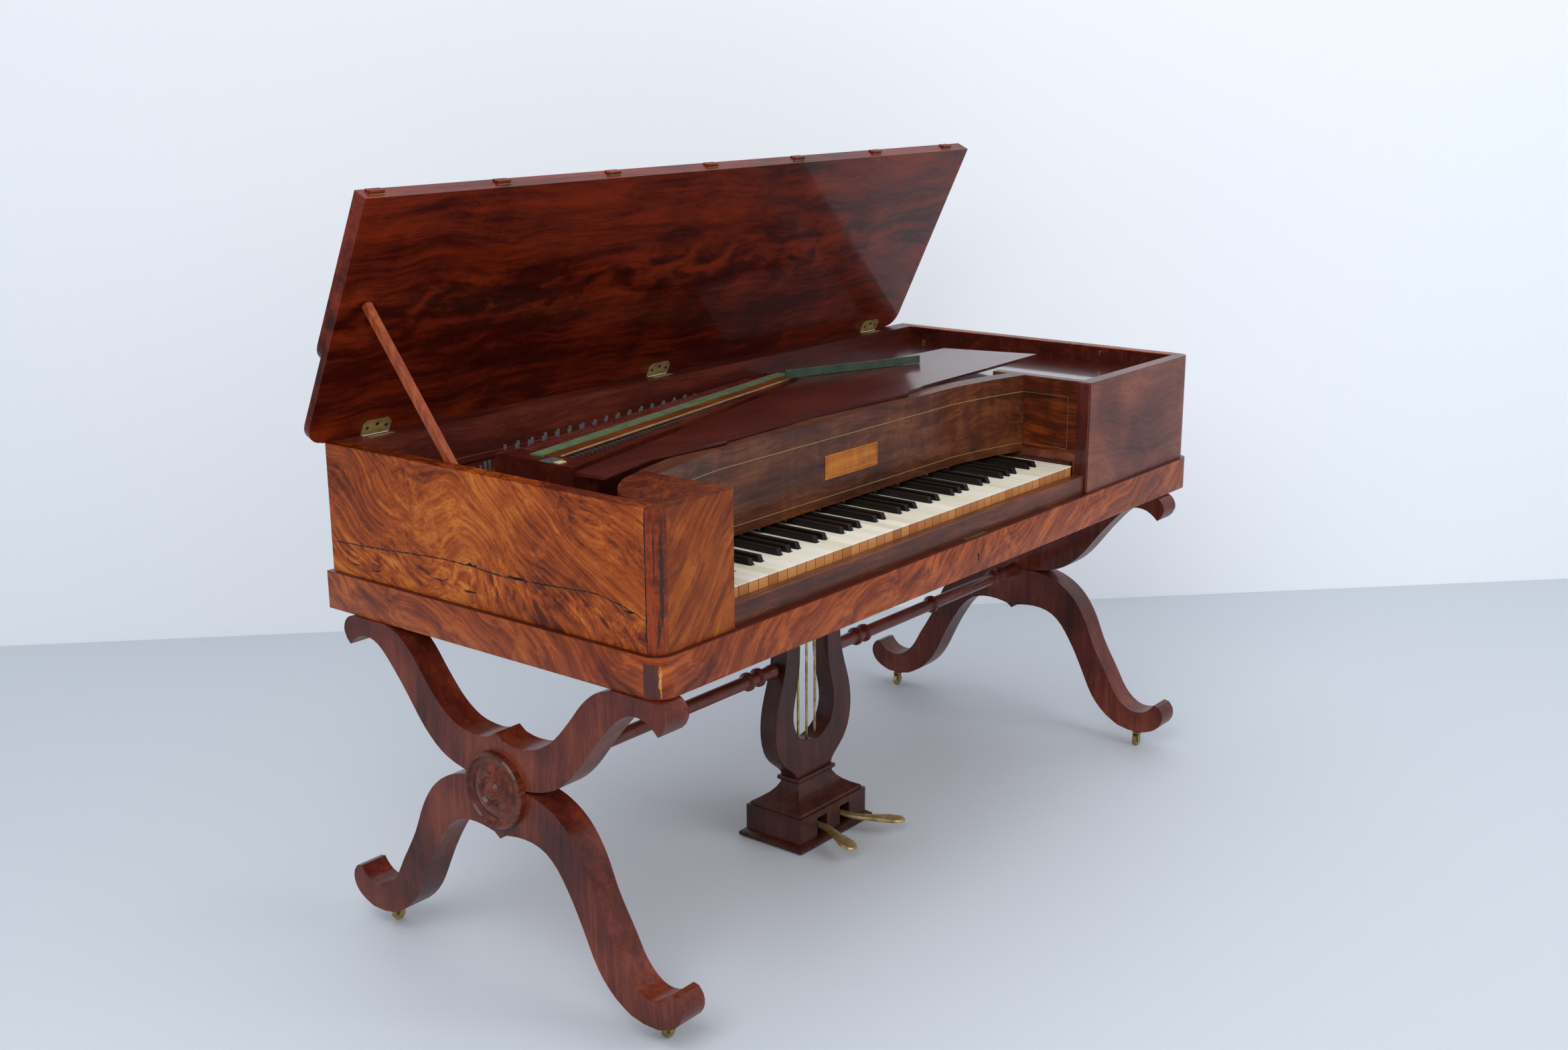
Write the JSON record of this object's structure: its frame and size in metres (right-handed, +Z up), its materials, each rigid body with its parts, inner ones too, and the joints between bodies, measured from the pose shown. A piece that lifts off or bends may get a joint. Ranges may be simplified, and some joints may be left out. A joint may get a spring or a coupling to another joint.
{
  "type": "fortepiano",
  "caption": "Square piano on two crossed end frames, its lid propped open with the flap folded back, with playing keys, a pedal lyre and rolling casters.",
  "frame": {"origin": "on the floor, below the middle of the whole piano with its lid propped open", "axes": "+X to the player's right along the case, +Y away from the player, +Z up"},
  "size_m": [1.6305, 0.7525, 1.2104],
  "materials": {
    "veneer": "polished flame mahogany veneer",
    "mahogany": "polished dark red mahogany",
    "rosewood": "polished rosewood",
    "limewood": "bare pale wood",
    "satinwood": "varnished satinwood",
    "bone": "bone key covering, stated as plastic",
    "ebony": "smooth ebony",
    "brass": "aged satin brass",
    "cloth": "woven green cloth",
    "wheel": "dull aged brass wheel"
  },
  "bodies": {
    "piano": {"case_side_left": "veneer", "case_side_right": "veneer", "cheek_left": "veneer", "cheek_right": "veneer", "key_slip": "veneer", "plinth_band": "mahogany", "case_back": "mahogany", "wrest_plank": "mahogany", "damper_case": "mahogany", "treble_panel": "mahogany", "cover_bracket": "mahogany", "frame_left_upper": "mahogany", "frame_left_lower": "mahogany", "frame_right_upper": "mahogany", "frame_right_lower": "mahogany", "rosette_left": "mahogany", "rosette_right": "mahogany", "stretcher_left": "mahogany", "stretcher_right": "mahogany", "lyre": "mahogany", "nameboard": "rosewood", "dust_cover": "rosewood", "key_frame": "limewood", "name_plaque": "satinwood", "keys_bass": "bone", "keys_treble": "bone", "lock_plate": "brass", "rod_middle": "brass", "cloth_strip": "cloth", "swell_bar": "cloth"},
    "lid": {"lid_main": "veneer", "lid_hinge_1": "brass", "lid_hinge_2": "brass", "lid_hinge_3": "brass"},
    "flap": {"lid_flap": "veneer"},
    "prop": {"prop_stick": "limewood"},
    "pedal_left": {"pedal_left": "brass"},
    "pedal_right": {"pedal_right": "brass"},
    "rod_left": {"rod_left": "brass"},
    "rod_right": {"rod_right": "brass"},
    "key_c": {"key_c": "bone"},
    "key_d": {"key_d": "bone"},
    "key_e": {"key_e": "bone"},
    "key_f": {"key_f": "bone"},
    "key_g": {"key_g": "bone"},
    "key_a": {"key_a": "bone"},
    "key_b": {"key_b": "bone"},
    "key_c_sharp": {"key_c_sharp": "ebony"},
    "key_d_sharp": {"key_d_sharp": "ebony"},
    "key_f_sharp": {"key_f_sharp": "ebony"},
    "key_g_sharp": {"key_g_sharp": "ebony"},
    "key_a_sharp": {"key_a_sharp": "ebony"},
    "fork_left_front": {"caster_fork_left_front": "brass"},
    "wheel_left_front": {"caster_wheel_left_front": "wheel"},
    "fork_left_back": {"caster_fork_left_back": "brass"},
    "wheel_left_back": {"caster_wheel_left_back": "wheel"},
    "fork_right_front": {"caster_fork_right_front": "brass"},
    "wheel_right_front": {"caster_wheel_right_front": "wheel"},
    "fork_right_back": {"caster_fork_right_back": "brass"},
    "wheel_right_back": {"caster_wheel_right_back": "wheel"}
  },
  "joints": [
    {"name": "lid_hinge", "type": "hinge", "parent": "piano", "child": "lid", "pos_m": [-0.0078, 0.3648, 0.8092], "axis": [1, 0, 0], "range_deg": [0, 62.9]},
    {"name": "flap_hinge", "type": "hinge", "parent": "lid", "child": "flap", "pos_m": [-0.0078, 0.19077, 1.20612], "axis": [1, 0, 0], "range_deg": [0, 180]},
    {"name": "prop_hinge", "type": "hinge", "parent": "piano", "child": "prop", "pos_m": [-0.7416, 0.0936, 0.783], "axis": [0.9946, 0, 0.1039], "range_deg": [0, 122]},
    {"name": "key_c_pivot", "type": "hinge", "parent": "piano", "child": "key_c", "pos_m": [-0.1701, -0.1364, 0.629], "axis": [1, 0, 0], "range_deg": [0, 2.6], "stiffness_Nm_per_rad": 3, "springref_deg": -3.44},
    {"name": "key_d_pivot", "type": "hinge", "parent": "piano", "child": "key_d", "pos_m": [-0.1471, -0.1364, 0.629], "axis": [1, 0, 0], "range_deg": [0, 2.6], "stiffness_Nm_per_rad": 3, "springref_deg": -3.44},
    {"name": "key_e_pivot", "type": "hinge", "parent": "piano", "child": "key_e", "pos_m": [-0.1241, -0.1364, 0.629], "axis": [1, 0, 0], "range_deg": [0, 2.6], "stiffness_Nm_per_rad": 3, "springref_deg": -3.44},
    {"name": "key_f_pivot", "type": "hinge", "parent": "piano", "child": "key_f", "pos_m": [-0.1011, -0.1364, 0.629], "axis": [1, 0, 0], "range_deg": [0, 2.6], "stiffness_Nm_per_rad": 3, "springref_deg": -3.44},
    {"name": "key_g_pivot", "type": "hinge", "parent": "piano", "child": "key_g", "pos_m": [-0.0781, -0.1364, 0.629], "axis": [1, 0, 0], "range_deg": [0, 2.6], "stiffness_Nm_per_rad": 3, "springref_deg": -3.44},
    {"name": "key_a_pivot", "type": "hinge", "parent": "piano", "child": "key_a", "pos_m": [-0.0551, -0.1364, 0.629], "axis": [1, 0, 0], "range_deg": [0, 2.6], "stiffness_Nm_per_rad": 3, "springref_deg": -3.44},
    {"name": "key_b_pivot", "type": "hinge", "parent": "piano", "child": "key_b", "pos_m": [-0.0321, -0.1364, 0.629], "axis": [1, 0, 0], "range_deg": [0, 2.6], "stiffness_Nm_per_rad": 3, "springref_deg": -3.44},
    {"name": "key_c_sharp_pivot", "type": "hinge", "parent": "piano", "child": "key_c_sharp", "pos_m": [-0.1586, -0.1364, 0.629], "axis": [1, 0, 0], "range_deg": [0, 2.6], "stiffness_Nm_per_rad": 3, "springref_deg": -3.44},
    {"name": "key_d_sharp_pivot", "type": "hinge", "parent": "piano", "child": "key_d_sharp", "pos_m": [-0.1356, -0.1364, 0.629], "axis": [1, 0, 0], "range_deg": [0, 2.6], "stiffness_Nm_per_rad": 3, "springref_deg": -3.44},
    {"name": "key_f_sharp_pivot", "type": "hinge", "parent": "piano", "child": "key_f_sharp", "pos_m": [-0.0896, -0.1364, 0.629], "axis": [1, 0, 0], "range_deg": [0, 2.6], "stiffness_Nm_per_rad": 3, "springref_deg": -3.44},
    {"name": "key_g_sharp_pivot", "type": "hinge", "parent": "piano", "child": "key_g_sharp", "pos_m": [-0.0666, -0.1364, 0.629], "axis": [1, 0, 0], "range_deg": [0, 2.6], "stiffness_Nm_per_rad": 3, "springref_deg": -3.44},
    {"name": "key_a_sharp_pivot", "type": "hinge", "parent": "piano", "child": "key_a_sharp", "pos_m": [-0.0436, -0.1364, 0.629], "axis": [1, 0, 0], "range_deg": [0, 2.6], "stiffness_Nm_per_rad": 3, "springref_deg": -3.44},
    {"name": "pedal_left_pivot", "type": "hinge", "parent": "piano", "child": "pedal_left", "pos_m": [-0.0753, -0.0614, 0.03], "axis": [1, 0, 0], "range_deg": [0, 5], "stiffness_Nm_per_rad": 20, "springref_deg": -5.73},
    {"name": "rod_left_slide", "type": "slide", "parent": "piano", "child": "rod_left", "axis": [0, 0, 1], "range_m": [0, 0.0036]},
    {"name": "pedal_right_pivot", "type": "hinge", "parent": "piano", "child": "pedal_right", "pos_m": [-0.0073, -0.0614, 0.03], "axis": [1, 0, 0], "range_deg": [0, 5], "stiffness_Nm_per_rad": 20, "springref_deg": -5.73},
    {"name": "rod_right_slide", "type": "slide", "parent": "piano", "child": "rod_right", "axis": [0, 0, 1], "range_m": [0, 0.0036]},
    {"name": "swivel_left_front", "type": "hinge", "parent": "piano", "child": "fork_left_front", "pos_m": [-0.7648, -0.3144, 0.0327], "axis": [0, 0, 1], "continuous": true},
    {"name": "roll_left_front", "type": "hinge", "parent": "fork_left_front", "child": "wheel_left_front", "pos_m": [-0.7518, -0.3144, 0.01143], "axis": [0, 1, 0], "continuous": true},
    {"name": "swivel_left_back", "type": "hinge", "parent": "piano", "child": "fork_left_back", "pos_m": [-0.7648, 0.2916, 0.0327], "axis": [0, 0, 1], "continuous": true},
    {"name": "roll_left_back", "type": "hinge", "parent": "fork_left_back", "child": "wheel_left_back", "pos_m": [-0.7518, 0.2916, 0.01143], "axis": [0, 1, 0], "continuous": true},
    {"name": "swivel_right_front", "type": "hinge", "parent": "piano", "child": "fork_right_front", "pos_m": [0.7132, -0.3144, 0.0327], "axis": [0, 0, 1], "continuous": true},
    {"name": "roll_right_front", "type": "hinge", "parent": "fork_right_front", "child": "wheel_right_front", "pos_m": [0.7002, -0.3144, 0.01143], "axis": [0, 1, 0], "continuous": true},
    {"name": "swivel_right_back", "type": "hinge", "parent": "piano", "child": "fork_right_back", "pos_m": [0.7132, 0.2916, 0.0327], "axis": [0, 0, 1], "continuous": true},
    {"name": "roll_right_back", "type": "hinge", "parent": "fork_right_back", "child": "wheel_right_back", "pos_m": [0.7002, 0.2916, 0.01143], "axis": [0, 1, 0], "continuous": true}
  ],
  "couplings": [
    {"joint": "prop_hinge", "follows": "lid_hinge", "ratio": 1.9},
    {"joint": "rod_left_slide", "follows": "pedal_left_pivot", "m_per_rad": 0.0405},
    {"joint": "rod_right_slide", "follows": "pedal_right_pivot", "m_per_rad": 0.0405}
  ]
}
